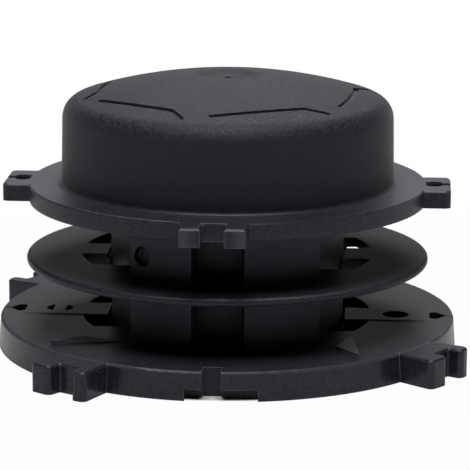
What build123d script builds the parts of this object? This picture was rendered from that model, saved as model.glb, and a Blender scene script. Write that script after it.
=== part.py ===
from build123d import *
import os
from math import acos, asin, atan2, cos, degrees, hypot, radians, sin, sqrt

# Trimmer line spool: a base flange, a middle flange and a top flange on one hub, with a domed
# bump knob above, moulded in one piece. Millimetres. The origin is on the axis at the foot of
# the base flange, +Z points up through the knob, and the keyholes lie on the X axis.

# Base flange: a plate on a drafted skirt
base_radius = 45.0
base_height = 5.6
base_plate = 2.0
skirt_wall = 2.2
skirt_draft = 0.4
base_round = 0.5

# Feed lugs round the base flange: a wide prong, a shallow valley and a narrow prong
feed_lug_count = 4
feed_lug_angle = 57.0
feed_lug_length = 8.0
valley_depth = 3.0
wide_prong_angle = 5.4
valley_angle = 5.4
narrow_prong_angle = 3.4
prong_round = 1.1
valley_round = 0.5

# Line chambers and the two upper flanges
lower_chamber = 10.9
middle_radius = 39.7
middle_thickness = 1.5
middle_root_thickness = 2.1
upper_chamber = 10.8
top_radius = 39.2
top_thickness = 3.5
top_round = 0.3
edge_break = 0.35

# Hub: a tube that turns on the head's post, with raised pads at the front and the back
hub_bore_radius = 20.5
hub_wall = 2.5
pad_radius = 28.5
pad_wall = 1.8
channel_half_angle = 10.3
left_pad_angle = 26.5
right_pad_angle = 31.5

# Windows at both sides of the hub, each with a tongue across it
window_radius = 28.8
window_length = 27.6
tongue_width = 9.0
tongue_gap = 0.5

# Top of the base plate: the tongues go on as low bands to the keyholes, beside four low ramps
band_height = 0.1
keyhole_inset = 4.8
keyhole_width = 5.4
keyhole_round = 1.2
keyhole_straight = 1.4
keyhole_taper = 1.7
keyhole_slit = 0.9
base_hole_share = 0.412
base_hole_diameter = 5.3
base_hole_web = 2.4
ramp_height = 0.45
ramp_sweep = 17.0
ramp_inset = 3.3
ramp_width = 7.1
ramp_foot_gap = 1.3

# Line holes through the pads
pad_hole_diameter = 4.0
pad_hole_height = 4.3
pad_hole_end = 6.0

# Notch at the front and the back of the base flange: a slot over a wide recess
slot_width = 3.6
slot_depth = 3.5
recess_width = 13.6
recess_shift = 1.8
recess_height = 2.2
recess_depth = 2.3

# Lugs of the top flange: two with keyholes at the sides, two forked ones at the front and back
side_lug_length = 4.7
side_lug_width = 13.4
side_lug_round = 1.2
side_hole_length = 5.0
side_hole_width = 3.3
side_hole_inset = 3.3
side_slit = 2.4
fork_length = 5.1
fork_gap = 4.4
fork_block_width = 3.85
fork_taper = 0.6

# Bump knob
knob_radius = 32.75
knob_draft = 0.3
knob_wall_height = 15.9
knob_rise = 5.5
knob_shoulder = 4.1
knob_roof = 4.0
knob_foot_round = 0.8
pocket_roof = 4.0
dish_radius = 6.5
dish_depth = 0.8
dish_round = 3.0
gate_diameter = 1.4
gate_depth = 0.5

# Grip grooves in the knob's crown
groove_count = 6
groove_start_angle = 27.0
groove_start_radius = 26.7
groove_middle_radius = 25.05
groove_corner_angle = 41.5
groove_corner_radius = 25.2
groove_end_angle = 48.5
groove_end_radius = 28.2
groove_width = 1.1
groove_depth = 0.6

# Levels and radii that follow from the sizes above
base_underside = base_height - base_plate
middle_low = base_height + lower_chamber
middle_high = middle_low + middle_thickness
middle_root = middle_high - middle_root_thickness
top_low = middle_high + upper_chamber
top_high = top_low + top_thickness
hub_radius = hub_bore_radius + hub_wall
foot_radius = base_radius + skirt_draft
skirt_inside = base_radius - skirt_wall
feed_lug_tip = base_radius + feed_lug_length
feed_lug_valley = feed_lug_tip - valley_depth
feed_lug_span = wide_prong_angle + valley_angle + narrow_prong_angle
keyhole_start = base_radius - keyhole_inset
base_hole_place = window_radius + base_hole_share * (keyhole_start - window_radius)
side_lug_reach = top_radius + side_lug_length
side_hole_place = side_lug_reach - side_hole_inset
fork_reach = top_radius + fork_length
knob_top_radius = knob_radius - knob_draft
crown_edge = top_high + knob_wall_height
crown_top = crown_edge + knob_rise
crown_radius = (knob_top_radius**2 + knob_rise**2) / (2 * knob_rise)
crown_centre = crown_top - crown_radius
crown_start = degrees(acos(knob_top_radius / crown_radius))
dish_edge = crown_centre + sqrt(crown_radius**2 - dish_radius**2)
dish_floor = crown_top - dish_depth
dish_sag = dish_edge - dish_floor
dish_curve = (dish_radius**2 + dish_sag**2) / (2 * dish_sag)
pocket_top = crown_centre + sqrt(crown_radius**2 - window_radius**2) - pocket_roof
roof_curve = crown_radius - knob_roof
bore_top = crown_centre + sqrt(roof_curve**2 - hub_bore_radius**2)
middle_round = 0.45 * middle_thickness


def polar(radius, angle):
    """Plan point at a radius and an angle in degrees."""
    return Vector(radius * cos(radians(angle)), radius * sin(radians(angle)))


def ring_sector(inner, outer, start, sweep):
    """Sketch of a ring sector that runs counter-clockwise from the start angle."""
    with BuildSketch(Plane.XY) as sketch:
        with BuildLine():
            inside = CenterArc((0, 0), inner, start, sweep)
            outside = CenterArc((0, 0), outer, start, sweep)
            Line(inside @ 0, outside @ 0)
            Line(inside @ 1, outside @ 1)
        make_face()
    return sketch.sketch


# Pads in plan, seen at the front of the hub, and the pockets that core them from below
left_pad_start = 270 - channel_half_angle - left_pad_angle
right_pad_start = 270 + channel_half_angle
pad_wall_angle = degrees(pad_wall / pad_radius)
with BuildSketch() as pads:
    with PolarLocations(0, 2):
        add(ring_sector(hub_bore_radius + hub_wall / 2, pad_radius, left_pad_start, left_pad_angle))
        add(ring_sector(hub_bore_radius + hub_wall / 2, pad_radius, right_pad_start, right_pad_angle))
with BuildSketch() as pad_pockets:
    pocket_outside = pad_radius - pad_wall
    with PolarLocations(0, 2):
        for pad_start, pad_angle in ((left_pad_start, left_pad_angle), (right_pad_start, right_pad_angle)):
            pocket_start = pad_start + pad_wall_angle
            pocket_angle = pad_angle - 2 * pad_wall_angle
            add(ring_sector(hub_radius, pocket_outside, pocket_start, pocket_angle))

# Windows at both sides, each split by a tongue that stops just short of the hub
with BuildSketch() as windows:
    Circle(window_radius)
    Circle(hub_radius, mode=Mode.SUBTRACT)
    Rectangle(2 * window_radius, window_length, mode=Mode.INTERSECT)
    tongue_start = hub_radius + tongue_gap
    with PolarLocations((tongue_start + window_radius) / 2 + tongue_gap, 2):
        Rectangle(window_radius - tongue_start + 2 * tongue_gap, tongue_width, mode=Mode.SUBTRACT)

# One feed lug of the base flange
with BuildPart() as feed_lug:
    with BuildSketch() as feed_lug_plan:
        add(ring_sector(skirt_inside, feed_lug_tip, -feed_lug_span / 2, feed_lug_span))
        valley_start = wide_prong_angle - feed_lug_span / 2
        valley = ring_sector(feed_lug_valley, feed_lug_tip + skirt_wall, valley_start, valley_angle)
        add(valley, mode=Mode.SUBTRACT)
        between = (feed_lug_valley + feed_lug_tip) / 2
        prong_corners = feed_lug_plan.vertices().filter_by(lambda v: hypot(v.X, v.Y) > between)
        fillet(prong_corners, prong_round)
        by_valley = feed_lug_plan.vertices().sort_by(lambda v: abs(hypot(v.X, v.Y) - feed_lug_valley))
        fillet(by_valley[:2], valley_round)
    extrude(amount=base_height)
    chamfer(feed_lug.faces().sort_by(Axis.Z)[-1].edges(), edge_break)

# One low ramp on the base plate: it rises from a point beside a feed lug to a radial step
with BuildPart() as ramp:
    ramp_outside = base_radius - ramp_inset
    step_middle = polar(ramp_outside - ramp_width / 2, -ramp_sweep)
    step_plane = Plane(
        origin=step_middle + Vector(0, 0, base_height),
        x_dir=polar(1, -ramp_sweep),
        z_dir=polar(1, -90 - ramp_sweep),
    )
    with BuildSketch(step_plane):
        Rectangle(ramp_width, 2 * ramp_height)
    ramp_foot = polar(window_radius + ramp_foot_gap, 0) + Vector(0, 0, base_height - ramp_height / 10)
    loft(sections=[ramp.pending_faces[0], Vertex(ramp_foot)], ruled=True)

# One keyhole of the base flange: a wide hole that tapers to a slit through the rim
with BuildSketch() as keyhole:
    taper_start = keyhole_start + keyhole_straight
    taper_end = taper_start + keyhole_taper
    with BuildLine():
        Polyline(
            (keyhole_start, -keyhole_width / 2),
            (taper_start, -keyhole_width / 2),
            (taper_end, -keyhole_slit / 2),
            (foot_radius + skirt_wall, -keyhole_slit / 2),
            (foot_radius + skirt_wall, keyhole_slit / 2),
            (taper_end, keyhole_slit / 2),
            (taper_start, keyhole_width / 2),
            (keyhole_start, keyhole_width / 2),
            close=True,
        )
    make_face()
    fillet(keyhole.vertices().group_by(Axis.X)[0], keyhole_round)

# One side lug of the top flange, with its keyhole
with BuildPart() as side_lug:
    with BuildSketch(Plane.XY.offset(top_low)):
        with Locations(((knob_radius + side_lug_reach) / 2, 0)):
            RectangleRounded(side_lug_reach - knob_radius, side_lug_width, side_lug_round)
    extrude(amount=top_thickness)
    chamfer(side_lug.faces().sort_by(Axis.Z)[-1].edges(), edge_break)
    with BuildSketch(Plane.XY.offset(top_low)):
        with Locations((side_hole_place, 0)):
            SlotOverall(side_hole_length, side_hole_width, rotation=90)
        with Locations((side_lug_reach, 0)):
            Rectangle(2 * (side_lug_reach - side_hole_place), side_slit)
    extrude(amount=top_thickness, mode=Mode.SUBTRACT)

# One forked lug of the top flange
with BuildPart() as fork_lug:
    with BuildSketch(Plane.XY.offset(top_low)):
        fork_start = knob_radius
        fork_half = fork_gap / 2 + fork_block_width
        with BuildLine():
            Polyline(
                (fork_start, -fork_half - fork_taper),
                (top_radius, -fork_half - fork_taper),
                (fork_reach, -fork_half),
                (fork_reach, fork_half),
                (top_radius, fork_half + fork_taper),
                (fork_start, fork_half + fork_taper),
                close=True,
            )
        make_face()
        with Locations((fork_reach, 0)):
            Rectangle(2 * fork_length, fork_gap, mode=Mode.SUBTRACT)
    extrude(amount=top_thickness)
    chamfer(fork_lug.faces().sort_by(Axis.Z)[-1].edges(), edge_break)

# Wall round the recess and slot at the front of the base flange
with BuildPart() as notch_wall:
    with BuildSketch():
        wall_inside = base_radius - slot_depth - pad_wall
        with Locations((recess_shift, 0)):
            Rectangle(recess_width + 2 * pad_wall, 2 * foot_radius)
        Circle(wall_inside, mode=Mode.SUBTRACT)
        Circle(skirt_inside + skirt_wall / 2, mode=Mode.INTERSECT)
        front_only = (Align.CENTER, Align.MIN)
        Rectangle(2 * foot_radius, foot_radius, align=front_only, mode=Mode.SUBTRACT)
    extrude(amount=base_height - base_plate / 2)

# Grip grooves: a long curved run and a short straight one, cut to one depth below the crown
with BuildSketch() as groove:
    bend = polar(groove_corner_radius, groove_corner_angle)
    run_start = polar(groove_start_radius, 0)
    run_middle = polar(groove_middle_radius, groove_corner_angle / 2)
    run_end = polar(groove_end_radius, groove_end_angle)
    SlotArc(ThreePointArc(run_start, run_middle, bend), groove_width)
    slope = degrees(atan2(run_end.Y - bend.Y, run_end.X - bend.X))
    run_centre = (bend + run_end) / 2
    with Locations((run_centre.X, run_centre.Y)):
        SlotCenterToCenter((run_end - bend).length, groove_width, rotation=slope)
with BuildPart() as grooves:
    with BuildSketch(Plane.XY.offset(crown_edge - groove_depth)):
        with PolarLocations(0, groove_count, start_angle=groove_start_angle):
            add(groove.sketch)
    extrude(amount=2 * knob_rise)
    with BuildSketch(Plane.XZ):
        with BuildLine():
            floor_middle = (0, crown_centre - groove_depth)
            floor_arc = CenterArc(floor_middle, crown_radius, crown_start, 90 - crown_start)
            Polyline(floor_arc @ 1, (0, 0), ((floor_arc @ 0).X, 0), floor_arc @ 0)
        make_face()
    revolve(axis=Axis.Z, mode=Mode.SUBTRACT)


def corner(sketch, x, y):
    """Corner of a sketch that lies nearest to a point of its plane."""
    return sketch.vertices().sort_by(lambda v: hypot(v.X - x, v.Y - y))[0]


with BuildPart() as line_spool:
    # Solid of revolution: three flanges, the hub and the knob
    with BuildSketch(Plane.XZ) as section:
        with BuildLine():
            crown_sweep = degrees(acos(dish_radius / crown_radius)) - crown_start
            crown = CenterArc((0, crown_centre), crown_radius, crown_start, crown_sweep)
            dish_sweep = degrees(asin(dish_radius / dish_curve))
            dish = CenterArc((0, dish_floor + dish_curve), dish_curve, 270, dish_sweep)
            Polyline(
                dish @ 0,
                (0, 0),
                (foot_radius, 0),
                (base_radius, base_height),
                (hub_radius, base_height),
                (hub_radius, middle_root),
                (middle_radius, middle_low),
                (middle_radius, middle_high),
                (hub_radius, middle_high),
                (hub_radius, top_low),
                (top_radius, top_low),
                (top_radius, top_high),
                (knob_radius, top_high),
                crown @ 0,
            )
        make_face()
        fillet(corner(section, base_radius, base_height), base_round)
        fillet(corner(section, middle_radius, middle_low), middle_round)
        fillet(corner(section, middle_radius, middle_high), middle_round)
        fillet(corner(section, top_radius, top_low), top_round)
        fillet(corner(section, top_radius, top_high), top_round)
        fillet(corner(section, knob_radius, top_high), knob_foot_round)
        fillet(corner(section, knob_top_radius, crown_edge), knob_shoulder)
        fillet(corner(section, dish_radius, dish_edge), dish_round)
    revolve(axis=Axis.Z)

    # Hollow under the base plate, and the hub's bore up to a roof that follows the crown
    with BuildSketch(Plane.XZ):
        with BuildLine():
            roof_start = degrees(acos(hub_bore_radius / roof_curve))
            roof = CenterArc((0, crown_centre), roof_curve, roof_start, 90 - roof_start)
            Polyline(roof @ 1, (0, 0), (hub_bore_radius, 0), roof @ 0)
        make_face()
        with BuildLine():
            Polyline(
                (hub_radius, 0),
                (skirt_inside + skirt_draft, 0),
                (skirt_inside, base_underside),
                (hub_radius, base_underside),
                close=True,
            )
        make_face()
    revolve(axis=Axis.Z, mode=Mode.SUBTRACT)

    # Hub pads, lugs and the walls behind the notches
    with BuildSketch(Plane.XY.offset(base_underside)):
        add(pads.sketch)
    extrude(amount=top_low - base_underside + top_thickness / 2)
    with PolarLocations(0, feed_lug_count, start_angle=feed_lug_angle):
        add(feed_lug.part)
        add(ramp.part)
    with PolarLocations(0, 2):
        add(side_lug.part)
        add(notch_wall.part)
    with PolarLocations(0, 2, start_angle=90):
        add(fork_lug.part)

    # Low bands from the hub to the keyholes, which the windows then part from the hub
    with BuildSketch(Plane.XY.offset(base_underside)):
        with PolarLocations((hub_radius + keyhole_start) / 2, 2):
            Rectangle(keyhole_start - hub_radius, tongue_width)
    extrude(amount=base_plate + band_height)

    # Windows and pockets, cored from below up into the knob
    with BuildSketch(Plane.XY):
        add(windows.sketch)
        add(pad_pockets.sketch)
    extrude(amount=pocket_top, mode=Mode.SUBTRACT)

    # Keyholes and round holes of the base plate
    with BuildSketch(Plane.XY):
        with PolarLocations(0, 2):
            add(keyhole.sketch)
        with PolarLocations(base_hole_place, 2):
            Circle(base_hole_diameter / 2)
        with Locations((-base_hole_place, 0)):
            Rectangle(base_hole_web, base_hole_diameter, mode=Mode.SUBTRACT)
    extrude(amount=base_height + band_height, mode=Mode.SUBTRACT)

    # Notches at the front and the back of the base flange
    for turn in (0, 180):
        with BuildSketch(Plane.XY.rotated((0, 0, turn))):
            with Locations((0, -foot_radius)):
                Rectangle(slot_width, 2 * (slot_depth + skirt_draft))
        extrude(amount=base_height, mode=Mode.SUBTRACT)
        with BuildSketch(Plane.XY.rotated((0, 0, turn))):
            with Locations((recess_shift, -foot_radius)):
                Rectangle(recess_width, 2 * (recess_depth + skirt_draft))
        extrude(amount=recess_height, mode=Mode.SUBTRACT)

    # Line holes through the pads: one in the upper chamber, one opposite it in the lower chamber
    for turn, level in ((0, middle_high), (180, base_height)):
        hole_angle = left_pad_start + pad_hole_end + turn
        hole_plane = Plane(
            origin=polar(hub_radius, hole_angle) + Vector(0, 0, level + pad_hole_height),
            x_dir=(0, 0, 1),
            z_dir=polar(1, hole_angle),
        )
        with BuildSketch(hole_plane):
            Circle(pad_hole_diameter / 2)
        extrude(amount=pad_radius - hub_radius + pad_wall, mode=Mode.SUBTRACT)

    # Grip grooves and the mark of the moulding gate in the crown
    add(grooves.part, mode=Mode.SUBTRACT)
    with BuildSketch(Plane.XY.offset(dish_floor - gate_depth)):
        Circle(gate_diameter / 2)
    extrude(amount=dish_depth + gate_depth, mode=Mode.SUBTRACT)

line_spool.part.label = "line_spool"
os.makedirs("parts", exist_ok=True)
export_step(line_spool.part, "parts/line_spool.step")
print("volume", round(line_spool.part.volume), "bore length", round(bore_top, 3))
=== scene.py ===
# %% [markdown]
# Trimmer line spool. The spool holds the cutting line inside the head of a string trimmer: two
# chambers between three flanges, and a domed knob that is bumped on the ground to feed the line.
# The shape comes from the CAD model, which is loaded here as a fixed frame in metres, with +Z up
# through the knob. This lesson gives it its moulded finish, two small forms that the CAD model
# lacks, its light and its camera.

# %% Load the frame
from math import atan, cos, degrees, radians, sin

import bpy
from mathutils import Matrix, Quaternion, Vector


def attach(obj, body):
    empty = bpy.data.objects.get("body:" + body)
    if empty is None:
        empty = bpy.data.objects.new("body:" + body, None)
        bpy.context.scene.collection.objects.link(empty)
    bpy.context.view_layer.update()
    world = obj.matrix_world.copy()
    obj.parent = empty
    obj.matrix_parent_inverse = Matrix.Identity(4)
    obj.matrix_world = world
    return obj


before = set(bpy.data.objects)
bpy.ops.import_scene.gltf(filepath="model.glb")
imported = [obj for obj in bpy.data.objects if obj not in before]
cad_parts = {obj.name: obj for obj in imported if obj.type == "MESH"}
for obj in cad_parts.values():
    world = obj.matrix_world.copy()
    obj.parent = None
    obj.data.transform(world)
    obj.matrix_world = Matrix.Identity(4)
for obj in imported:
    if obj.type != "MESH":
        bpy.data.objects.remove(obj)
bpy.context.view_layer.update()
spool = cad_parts["line_spool"]
MM = 0.001

# %% [markdown]
# A material is a graph of nodes, and long sums are hard to read as a list of links. This small
# class wraps one socket, so that a sum, a product or a power of sockets can be written as a plain
# Python expression, and each sign adds its Math node. Every other node comes from one method.


# %% Sockets as numbers
class Wire:
    """A socket of a node tree. Arithmetic on wires adds Math nodes."""

    def __init__(self, tree, socket=None):
        self.tree = tree
        self.socket = socket

    def node(self, kind, settings=None, inputs=None, output=0):
        """Add a node, set its settings and then its sockets, and return one of its outputs."""
        made = self.tree.nodes.new(kind)
        for name, value in (settings or {}).items():
            setattr(made, name, value)
        for key, value in (inputs or {}).items():
            if isinstance(value, Wire):
                self.tree.links.new(value.socket, made.inputs[key])
            else:
                made.inputs[key].default_value = value
        return Wire(self.tree, made.outputs[output]) if made.outputs else None

    def out(self, name):
        """Another output of the node that this wire comes from."""
        return Wire(self.tree, self.socket.node.outputs[name])

    def math(self, operation, *values):
        """A Math node on one or two wires or numbers."""
        return self.node("ShaderNodeMath", {"operation": operation}, dict(enumerate(values)))

    def ramp(self, low, high):
        """0 below low, 1 above high, and a smooth step between them."""
        span = {"Value": self, "From Min": low, "From Max": high}
        return self.node("ShaderNodeMapRange", {"interpolation_type": "SMOOTHSTEP"}, span)

    def __add__(self, other):
        return self.math("ADD", self, other)

    def __sub__(self, other):
        return self.math("SUBTRACT", self, other)

    def __rsub__(self, other):
        return self.math("SUBTRACT", other, self)

    def __mul__(self, other):
        return self.math("MULTIPLY", self, other)

    def __truediv__(self, other):
        return self.math("DIVIDE", self, other)

    def __pow__(self, other):
        return self.math("POWER", self, other)

    __radd__ = __add__
    __rmul__ = __mul__


def new_material(name):
    """An empty node material, and a wire to start its graph from."""
    material = bpy.data.materials.new(name)
    material.use_nodes = True
    material.node_tree.nodes.clear()
    return material, Wire(material.node_tree)


def mix_colour(share, first, second):
    """Colour that goes from the first to the second as share goes from 0 to 1."""
    settings = {"data_type": "RGBA"}
    return share.node("ShaderNodeMix", settings, {0: share, 6: first, 7: second}, 2)


print("ready: Wire, new_material and mix_colour")

# %% [markdown]
# The spool is one moulding of black nylon, but the mould's walls leave two finishes on it. The
# knob's wall and crown are spark-eroded, so they are matt and grained and hide scuffs. The flanges
# and the hub are smoother and satin, and mirror the pale room at a low angle. They could be two
# materials on two sets of faces, but one material that asks how far a point is from the axis and how
# high it is needs no faces picked out. Each pair below is where a mask starts and where it is full.

# %% Where a point lies on the spool
KNOB_FOOT = (32.5 * MM, 32.8 * MM)
KNOB_SIDE = (33.2 * MM, 33.5 * MM)
TOP_FACE = (31.6 * MM, 32.0 * MM)
FRONT_LIP = (-30 * MM, -12 * MM)
RIM_SIDE = (44.2 * MM, 44.8 * MM)
RIM_TOP = (4.9 * MM, 5.3 * MM)
# Where the painted light on the base flange's top edge lies.
BASE_EDGE_INSIDE = (44.4 * MM, 44.6 * MM)
BASE_EDGE_OUTSIDE = (45.1 * MM, 45.3 * MM)
BASE_EDGE_FOOT = (5.0 * MM, 5.15 * MM)
MIDDLE_FOOT = (15 * MM, 16 * MM)
MIDDLE_TOP = (18.5 * MM, 19.5 * MM)
RIGHT_SIDE = (0, 30 * MM)

nylon, start = new_material("black_nylon")
place = start.node("ShaderNodeTexCoord", output="Object")
across = place.node("ShaderNodeSeparateXYZ", inputs={0: place})
depth = across.out("Y")
height = across.out("Z")
radius = (across * across + depth * depth) ** 0.5
on_knob = height.ramp(*KNOB_FOOT) * (1 - radius.ramp(*KNOB_SIDE))
# Painted light: the next mask lightens the top flange's top face, but not the front lip that the knob
# shades.
painted_light_top_face = height.ramp(*TOP_FACE) * depth.ramp(*FRONT_LIP)
rim = radius.ramp(*RIM_SIDE) * (1 - height.ramp(*RIM_TOP))
# Painted light: the next mask lightens the rounded top edge of the base flange.
painted_light_base_edge = radius.ramp(*BASE_EDGE_INSIDE) * (1 - radius.ramp(*BASE_EDGE_OUTSIDE)) * height.ramp(*BASE_EDGE_FOOT)
on_middle = height.ramp(*MIDDLE_FOOT) * (1 - height.ramp(*MIDDLE_TOP))
to_right_side = across.ramp(*RIGHT_SIDE)
print("masks ready:", len(nylon.node_tree.nodes), "nodes")

# %% [markdown]
# The crown is part of a large ball, and six bent grip grooves are cut into it. A point that lies
# under the ball's surface is in a groove, and the grooves get a paler colour. The grooves could be marked
# with painted weights, but their depth under the ball is already known, so it makes the mask.

# %% Grooves and dish of the crown
CROWN_CENTRE = -44.78 * MM
CROWN_RADIUS = 98.48 * MM
GROOVE_DEPTH = (0.175 * MM, 0.35 * MM)
GROOVE_FOOT = (49.2 * MM, 49.4 * MM)
GROOVE_INSIDE = (20 * MM, 21 * MM)
DISH = (2.5 * MM, 7.5 * MM)
CROWN_START = (46 * MM, 49 * MM)

rise = height - CROWN_CENTRE
under_ball = CROWN_RADIUS - (radius * radius + rise * rise) ** 0.5
in_groove = under_ball.ramp(*GROOVE_DEPTH) * height.ramp(*GROOVE_FOOT) * radius.ramp(*GROOVE_INSIDE)
hollow = 1 - radius.ramp(*DISH)
on_crown = height.ramp(*CROWN_START)
print("crown masks ready:", len(nylon.node_tree.nodes), "nodes")

# %% [markdown]
# Near-black nylon isn't one even black. Seen close, its grain is a speckle of darker and lighter
# points, strong on the crown and weak on the knob's wall, and handling has left faint clouds. An image
# could show this, but noise on the spool's own coordinates has no seams and stays sharp at any size.
# Each noise has its own scale, from the fine grain up to clouds about two centimetres across.


# %% Grain and clouds
def noise(scale, detail, roughness):
    """Noise on the spool, with features about one over scale metres across."""
    sockets = {"Vector": place, "Scale": scale, "Detail": detail, "Roughness": roughness}
    return place.node("ShaderNodeTexNoise", inputs=sockets)


GRAIN_SPAN = (0.36, 0.64)
WALL_CONTRAST = 0.3

grain = noise(1700, 2.0, 0.6)
pits = noise(700, 2.0, 0.5)
flow = noise(160, 2.0, 0.5)
cloud = noise(45, 3.0, 0.6)
fine = grain.ramp(*GRAIN_SPAN)
speckle = 0.5 + (fine - 0.5) * (WALL_CONTRAST + (1 - WALL_CONTRAST) * on_crown)
print("noises ready:", len(nylon.node_tree.nodes), "nodes")

# %% [markdown]
# The colours follow from the masks and the noises: speckle on the knob, a paler colour in the grooves,
# scuffs on the satin parts, and painted light that makes the top flange's top face and the base flange's
# top edge lighter, while the front lip, which the knob shades, stays dark. Sharp edges are painted pale,
# partly as scrapes and partly as painted highlights. To find them, the Bevel node rounds the normals
# near an edge, and where its normal turns away from the surface's own, there is an edge.

# %% Colour
GRAIN_DARK = (0.0030, 0.0027, 0.0036, 1)
GRAIN_LIGHT = (0.0440, 0.0397, 0.0526, 1)
SPECKLE_SHARE = 0.8
# The grooves get this paler colour.
GROOVE_PALE = (0.050, 0.046, 0.057, 1)
SATIN_DARK = (0.0100, 0.0092, 0.0117, 1)
SATIN_LIGHT = (0.0430, 0.0395, 0.0498, 1)
FINE_SCUFFS = 0.5
FLOW_SCUFFS = 0.2
CLOUD_SCUFFS = 0.3
# Painted light: the pale colour that the top face and base edge masks mix in.
PAINTED_LIGHT_PALE = (0.068, 0.063, 0.075, 1)
# Pale edges: partly scrapes and partly painted highlights.
SCRAPED_AND_HIGHLIT = (0.290, 0.274, 0.302, 1)
EDGE_ROUND = 0.22 * MM
EDGE_TURN = (0.01, 0.20)
CLOUD_SPAN = (0.35, 0.65)
LEAST_EDGE_PAINT = 0.5

grain_share = speckle * SPECKLE_SHARE + cloud * (1 - SPECKLE_SHARE)
knob_colour = mix_colour(grain_share, GRAIN_DARK, GRAIN_LIGHT)
knob_colour = mix_colour(in_groove, knob_colour, GROOVE_PALE)
scuffs = fine * FINE_SCUFFS + flow * FLOW_SCUFFS + cloud * CLOUD_SCUFFS
satin_colour = mix_colour(scuffs, SATIN_DARK, SATIN_LIGHT)
# Painted light on the top flange's top face and on the base flange's top edge.
satin_colour = mix_colour(painted_light_top_face + painted_light_base_edge, satin_colour, PAINTED_LIGHT_PALE)
edges = start.node("ShaderNodeBevel", {"samples": 6}, {"Radius": EDGE_ROUND})
facing = start.node("ShaderNodeNewGeometry", output="Normal")
same_way = edges.node("ShaderNodeVectorMath", {"operation": "DOT_PRODUCT"}, {0: edges, 1: facing}, "Value")
# Painted highlights and scrapes: sharp edges turn pale, more so where the clouds are.
edge_paint_share = LEAST_EDGE_PAINT + cloud.ramp(*CLOUD_SPAN) * (1 - LEAST_EDGE_PAINT)
scraped_and_highlit = (1 - same_way).ramp(*EDGE_TURN) * edge_paint_share
satin_colour = mix_colour(scraped_and_highlit, satin_colour, SCRAPED_AND_HIGHLIT)
print("colours ready:", len(nylon.node_tree.nodes), "nodes")

# %% [markdown]
# Now each finish gets its shader. The knob's is rough, with a bump of grain and pits, a little sheen
# for the dust in its grain, and a dish that the bump deepens in the middle of the crown. The satin
# one is smoother, most of all on the rim of the base flange, and duller on the right of the middle
# flange. Both take the rounded normals, so that edges catch the light as moulded ones do. The
# knob's mask mixes the two.

# %% Two shaders in one material
GLOSS = 0.4
GLOSS_TINT = (0.90, 0.83, 1.0, 1)
KNOB_RELIEF = 0.2 * MM
GRAIN_HEIGHT = 0.45
PIT_HEIGHT = 0.2
DISH_HEIGHT = 4.0
KNOB_ROUGH = 0.48
SPECKLE_ROUGH = 0.26
SHEEN = 0.12
SHEEN_ROUGH = 0.35

knob_height = grain * GRAIN_HEIGHT + pits * PIT_HEIGHT - hollow * DISH_HEIGHT
knob_bump = {"Strength": 1.0, "Distance": KNOB_RELIEF, "Height": knob_height, "Normal": edges}
knob_shader = start.node(
    "ShaderNodeBsdfPrincipled",
    inputs={
        "Base Color": knob_colour,
        "Roughness": KNOB_ROUGH + speckle * SPECKLE_ROUGH,
        "Specular IOR Level": GLOSS,
        "Specular Tint": GLOSS_TINT,
        "Sheen Weight": SHEEN,
        "Sheen Roughness": SHEEN_ROUGH,
        "Normal": start.node("ShaderNodeBump", inputs=knob_bump),
    },
)

SATIN_RELIEF = 0.06 * MM
SATIN_BUMP = 0.5
SATIN_GRAIN = 0.5
SATIN_ROUGH = 0.34
CLOUD_ROUGH = 0.16
MIDDLE_ROUGH = 0.04
RIGHT_ROUGH = 0.1
RIM_POLISH = 0.2

satin_height = flow + grain * SATIN_GRAIN
satin_bump = {"Strength": SATIN_BUMP, "Distance": SATIN_RELIEF, "Height": satin_height, "Normal": edges}
satin_rough = SATIN_ROUGH + cloud * CLOUD_ROUGH - rim * RIM_POLISH
satin_shader = start.node(
    "ShaderNodeBsdfPrincipled",
    inputs={
        "Base Color": satin_colour,
        "Roughness": satin_rough + on_middle * (MIDDLE_ROUGH + RIGHT_ROUGH * to_right_side),
        "Specular IOR Level": GLOSS,
        "Specular Tint": GLOSS_TINT,
        "Normal": start.node("ShaderNodeBump", inputs=satin_bump),
    },
)
finish_mix = start.node("ShaderNodeMixShader", inputs={0: on_knob, 1: satin_shader, 2: knob_shader})
start.node("ShaderNodeOutputMaterial", inputs={"Surface": finish_mix})
spool.data.materials.clear()
spool.data.materials.append(nylon)
print("nylon covers", spool.name, "with", len(nylon.node_tree.nodes), "nodes")

# %% [markdown]
# In the photograph the windows of the middle flange are dark, so the flange must be deeper there than
# at its rim. Low ribs hang under it: a ledge round the hub's foot, a bar under each tongue, a web at
# the tongue's tip and a short bar at each end of the window. The ledge could be cut from a ring, but
# Spin makes just the arc that is needed: it sweeps a small upright rectangle round the axis,
# clockwise as seen from above.

# %% A ledge round the hub's foot
RIB_LOW = 15.15 * MM
RIB_HIGH = 16.0 * MM
HUB_RADIUS = 23.0 * MM
LEDGE = 0.55 * MM
LEDGE_SWEEP = radians(37)
ARC_STEPS = 24

ledge_start = (HUB_RADIUS * cos(LEDGE_SWEEP), HUB_RADIUS * sin(LEDGE_SWEEP), (RIB_LOW + RIB_HIGH) / 2)
bpy.ops.object.select_all(action="DESELECT")
bpy.ops.mesh.primitive_plane_add(size=1, location=ledge_start, rotation=(radians(90), 0, LEDGE_SWEEP))
ribs = bpy.context.object
ribs.name = "window_ribs"
ribs.scale = (2 * LEDGE, RIB_HIGH - RIB_LOW, 1)
bpy.ops.object.transform_apply(location=True, rotation=True, scale=True)
bpy.ops.object.mode_set(mode="EDIT")
bpy.ops.mesh.select_all(action="SELECT")
bpy.ops.mesh.spin(steps=ARC_STEPS, angle=2 * LEDGE_SWEEP, center=(0, 0, 0), axis=(0, 0, 1))
bpy.ops.mesh.select_all(action="SELECT")
bpy.ops.mesh.normals_make_consistent(inside=False)
bpy.ops.object.mode_set(mode="OBJECT")
print("ledge:", len(ribs.data.polygons), "faces")

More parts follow.
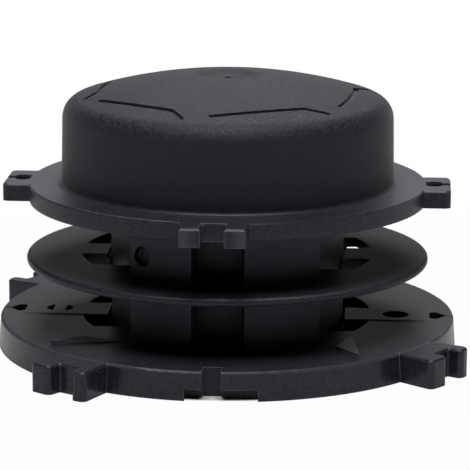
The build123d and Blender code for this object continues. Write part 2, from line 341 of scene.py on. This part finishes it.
# %% [markdown]
# Each bar is a plane at the rib's top, extruded downwards. The bars are joined to the ledge, and one
# bevel takes off the sharp edges of them all. The spool repeats after half a turn, so the whole set is
# copied, turned and joined again. A modifier's bevel suits it better than the one of edit mode, because
# it leaves out the flat joints of the ledge's arc.


# %% Bars under the tongues and beside the windows
def bar(reach, sides, high):
    """A bar between two places in x and two in y, from a level down to the ribs' foot."""
    bpy.ops.object.select_all(action="DESELECT")
    bpy.ops.mesh.primitive_plane_add(size=1, location=(sum(reach) / 2, sum(sides) / 2, high))
    piece = bpy.context.object
    piece.scale = (reach[1] - reach[0], sides[1] - sides[0], 1)
    bpy.ops.object.transform_apply(location=True, rotation=True, scale=True)
    bpy.ops.object.mode_set(mode="EDIT")
    bpy.ops.mesh.select_all(action="SELECT")
    bpy.ops.mesh.extrude_region_move(TRANSFORM_OT_translate={"value": (0, 0, RIB_LOW - high)})
    bpy.ops.mesh.select_all(action="SELECT")
    bpy.ops.mesh.normals_make_consistent(inside=False)
    bpy.ops.object.mode_set(mode="OBJECT")
    return piece


def join(target, pieces):
    """Make the pieces part of the target's mesh."""
    bpy.ops.object.select_all(action="DESELECT")
    for piece in [target] + pieces:
        piece.select_set(True)
    bpy.context.view_layer.objects.active = target
    bpy.ops.object.join()


TONGUE_SIDES = (-4.5 * MM, 4.5 * MM)
TONGUE_REACH = (23.5 * MM, 29.3 * MM)
WEB_REACH = (22.6 * MM, 23.6 * MM)
WEB_HIGH = 17.45 * MM
WINDOW_HALF = 13.8 * MM
EDGE_RIB = 0.8 * MM
EDGE_REACH = (17.6 * MM, 26.0 * MM)
CORNER_REACH = (17.6 * MM, 23.4 * MM)

tongue_bar = bar(TONGUE_REACH, TONGUE_SIDES, RIB_HIGH)
tip_web = bar(WEB_REACH, TONGUE_SIDES, WEB_HIGH)
edge_bar = bar(EDGE_REACH, (-WINDOW_HALF - EDGE_RIB, -WINDOW_HALF), RIB_HIGH)
corner_bar = bar(CORNER_REACH, (WINDOW_HALF, WINDOW_HALF + EDGE_RIB), RIB_HIGH)
join(ribs, [tongue_bar, tip_web, edge_bar, corner_bar])
print("ledge and bars:", len(ribs.data.polygons), "faces")

# %% Soft edges and the other side
RIB_ROUND = 0.12 * MM
ROUND_STEPS = 2

soften = ribs.modifiers.new("soften", "BEVEL")
soften.width = RIB_ROUND
soften.segments = ROUND_STEPS
bpy.ops.object.modifier_apply(modifier=soften.name)
bpy.ops.object.duplicate()
other_side = bpy.context.object
other_side.rotation_euler.z = radians(180)
bpy.ops.object.transform_apply(location=True, rotation=True, scale=True)
join(ribs, [other_side])
ribs.data.name = "window_ribs"
ribs.data.materials.append(nylon)
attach(ribs, "root")
print("ribs:", len(ribs.data.polygons), "faces")

# %% [markdown]
# The end of the line is hooked into a round hole in a pad, one in each chamber. In the photograph the
# hole isn't black: a floor a little way in catches some light. Each floor is a short cylinder that
# lies across its hole. The face that looks outwards is inset and pushed in, so that it is dished.

# %% Floors of the line holes
PLUG_SIDES = 48
PLUG_RADIUS = 2.15 * MM
PLUG_FACE = 27.1 * MM
PLUG_THICK = 1.0 * MM
PLUG_STEP = 0.6 * MM
PLUG_DISH = 0.2 * MM
FACES_OUT = 0.9


def hole_floor(angle, level):
    """A dished floor across the hole at an angle round the axis and at a level."""
    outwards = Vector((cos(angle), sin(angle), 0))
    bpy.ops.object.select_all(action="DESELECT")
    bpy.ops.mesh.primitive_cylinder_add(
        vertices=PLUG_SIDES,
        radius=PLUG_RADIUS,
        depth=PLUG_THICK,
        location=outwards * (PLUG_FACE - PLUG_THICK / 2) + Vector((0, 0, level)),
        rotation=(0, radians(90), angle),
    )
    piece = bpy.context.object
    bpy.ops.object.transform_apply(location=True, rotation=True, scale=True)
    bpy.ops.object.mode_set(mode="EDIT")
    bpy.ops.mesh.select_mode(type="FACE")
    bpy.ops.mesh.select_all(action="DESELECT")
    bpy.ops.object.mode_set(mode="OBJECT")
    for face in piece.data.polygons:
        face.select = face.normal.dot(outwards) > FACES_OUT
    bpy.ops.object.mode_set(mode="EDIT")
    bpy.ops.mesh.inset(thickness=PLUG_STEP)
    bpy.ops.transform.translate(value=-outwards * PLUG_DISH)
    bpy.ops.object.mode_set(mode="OBJECT")
    return piece


HOLE_ANGLE = radians(239.2)
UPPER_HOLE = 22.3 * MM
LOWER_HOLE = 9.9 * MM

hole_floors = hole_floor(HOLE_ANGLE, UPPER_HOLE)
join(hole_floors, [hole_floor(HOLE_ANGLE + radians(180), LOWER_HOLE)])
hole_floors.name = "line_hole_floors"
hole_floors.data.name = "line_hole_floors"
hole_floors.data.materials.append(nylon)
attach(hole_floors, "root")
print("hole floors:", len(hole_floors.data.polygons), "faces")

# %% [markdown]
# The photograph was taken on a white sweep that is a little over-exposed. The floor here is a large
# pale sheet. To the camera most of it is its own white, and the rest is plain paint that takes the
# spool's soft shadow. Under the spool the white fades out, so that the windows look dark.

# %% Floor
FLOOR_SIZE = 4.0
WHITE = (1, 1, 1, 1)
PAPER = (0.8, 0.8, 0.8, 1)
WHITE_SHARE = 0.96
UNDER_SPOOL = (43.5 * MM, 45 * MM)
SHADOW_END = (70 * MM, 180 * MM)

bpy.ops.object.select_all(action="DESELECT")
bpy.ops.mesh.primitive_plane_add(size=FLOOR_SIZE, location=(0, 0, 0))
floor = bpy.context.object
floor.name = "floor"

paper, start = new_material("white_sweep")
spot = start.node("ShaderNodeTexCoord", output="Object")
aside = spot.node("ShaderNodeSeparateXYZ", inputs={0: spot})
away = (aside * aside + aside.out("Y") * aside.out("Y")) ** 0.5
seen = start.node("ShaderNodeLightPath", output="Is Camera Ray")
far_share = WHITE_SHARE + (1 - WHITE_SHARE) * away.ramp(*SHADOW_END)
white_share = seen * away.ramp(*UNDER_SPOOL) * far_share
paint = start.node("ShaderNodeBsdfDiffuse", inputs={"Color": PAPER})
glow = start.node("ShaderNodeEmission", inputs={"Color": WHITE, "Strength": 1.0})
sheet = start.node("ShaderNodeMixShader", inputs={0: white_share, 1: paint, 2: glow})
start.node("ShaderNodeOutputMaterial", inputs={"Surface": sheet})
floor.data.materials.append(paper)
print("floor", FLOOR_SIZE, "m wide")

# %% [markdown]
# Behind the spool the white sweep rises into a low white wall. The flanges are seen at a low angle,
# so they mirror it, and so does the far edge of the crown. The world is that wall: white at the back,
# weaker at both sides, dark in front, where the camera stands, and gone a little above the horizon.
# To the camera itself the world is plain white.

# %% World
WALL_BACK = 1.0
WALL_SIDES = 0.25
WALL_TOP = (0.03, 0.26)
NEVER_ZERO = 0.0001

world = bpy.data.worlds.new("white_wall")
bpy.context.scene.world = world
world.use_nodes = True
world.node_tree.nodes.clear()
start = Wire(world.node_tree)
seen = start.node("ShaderNodeLightPath", output="Is Camera Ray")
way = start.node("ShaderNodeTexCoord", output="Generated")
right = way.node("ShaderNodeSeparateXYZ", inputs={0: way})
back = right.out("Y")
behind = back.math("GREATER_THAN", back, 0)
level_ways = right * right + back * back + NEVER_ZERO
around = (back * back * behind * WALL_BACK + right * right * WALL_SIDES) / level_ways
wall = around * (1 - right.out("Z").ramp(*WALL_TOP))
level = seen + (1 - seen) * wall
glow = start.node("ShaderNodeBackground", inputs={"Color": WHITE, "Strength": level})
start.node("ShaderNodeOutputWorld", inputs={"Surface": glow})
print("world", len(world.node_tree.nodes), "nodes")

# %% [markdown]
# Two large softboxes do the rest. The key stands high behind the spool, so the crown and the flanges
# shine towards the camera and the knob's wall stays dark. The fill hangs overhead, a little towards
# the camera, and lifts the shoulders and the front of the hub. Area lamps this large give no hard
# shadow.

# %% Softboxes
LAMP_AIM = Vector((0, 0, 0.03))


def add_softbox(name, stand, size, power):
    """A square area lamp that faces the spool."""
    lamp = bpy.data.lights.new(name, "AREA")
    lamp.shape = "SQUARE"
    lamp.size = size
    lamp.energy = power
    holder = bpy.data.objects.new(name, lamp)
    bpy.context.scene.collection.objects.link(holder)
    holder.location = stand
    holder.rotation_mode = "QUATERNION"
    holder.rotation_quaternion = (LAMP_AIM - Vector(stand)).to_track_quat("-Z", "Y")


KEY_STAND = (0.0, 0.52, 0.56)
KEY_SIZE = 0.50
KEY_POWER = 1.62
FILL_STAND = (0.0, -0.15, 0.75)
FILL_SIZE = 0.45
FILL_POWER = 4.5

add_softbox("key_softbox", KEY_STAND, KEY_SIZE, KEY_POWER)
add_softbox("fill_softbox", FILL_STAND, FILL_SIZE, FILL_POWER)

# %% [markdown]
# The photograph was taken from a little above the flanges with a long lens, so the flanges show as
# flat ellipses with hardly any perspective. The camera's place was fitted to the outlines of the
# three flanges. It aims a little below and to the right of the spool's middle, because the spool
# stands up and to the left of the picture's centre, and it leans by a quarter of a degree.

# %% Camera
IMAGE_WIDTH = 470
SENSOR = 36.0
CAMERA_RANGE = 540 * MM
CAMERA_AZIMUTH = radians(3.7)
CAMERA_ELEVATION = radians(12.12)
CAMERA_ROLL = radians(0.25)
FOCAL_PIXELS = 2729.7
TARGET = Vector((0, 0, 28 * MM))
TARGET_PIXEL = (227.55, 201.7)

lens = bpy.data.cameras.new("camera")
lens.sensor_width = SENSOR
lens.lens = FOCAL_PIXELS / IMAGE_WIDTH * SENSOR
camera = bpy.data.objects.new("camera", lens)
bpy.context.scene.collection.objects.link(camera)
to_camera = Vector((
    sin(CAMERA_AZIMUTH) * cos(CAMERA_ELEVATION),
    -cos(CAMERA_AZIMUTH) * cos(CAMERA_ELEVATION),
    sin(CAMERA_ELEVATION),
))
camera.location = TARGET + to_camera * CAMERA_RANGE
swing_right = atan((IMAGE_WIDTH / 2 - TARGET_PIXEL[0]) / FOCAL_PIXELS)
swing_down = atan((IMAGE_WIDTH / 2 - TARGET_PIXEL[1]) / FOCAL_PIXELS)
aim = (-to_camera).to_track_quat("-Z", "Y")
aim = aim @ Quaternion((0, 1, 0), -swing_right) @ Quaternion((1, 0, 0), -swing_down)
camera.rotation_mode = "QUATERNION"
camera.rotation_quaternion = aim @ Quaternion((0, 0, 1), CAMERA_ROLL)
bpy.context.scene.camera = camera
bpy.context.scene.view_settings.view_transform = "Standard"
print("camera lens", round(lens.lens, 1), "mm, down", round(degrees(swing_down), 2), "degrees")
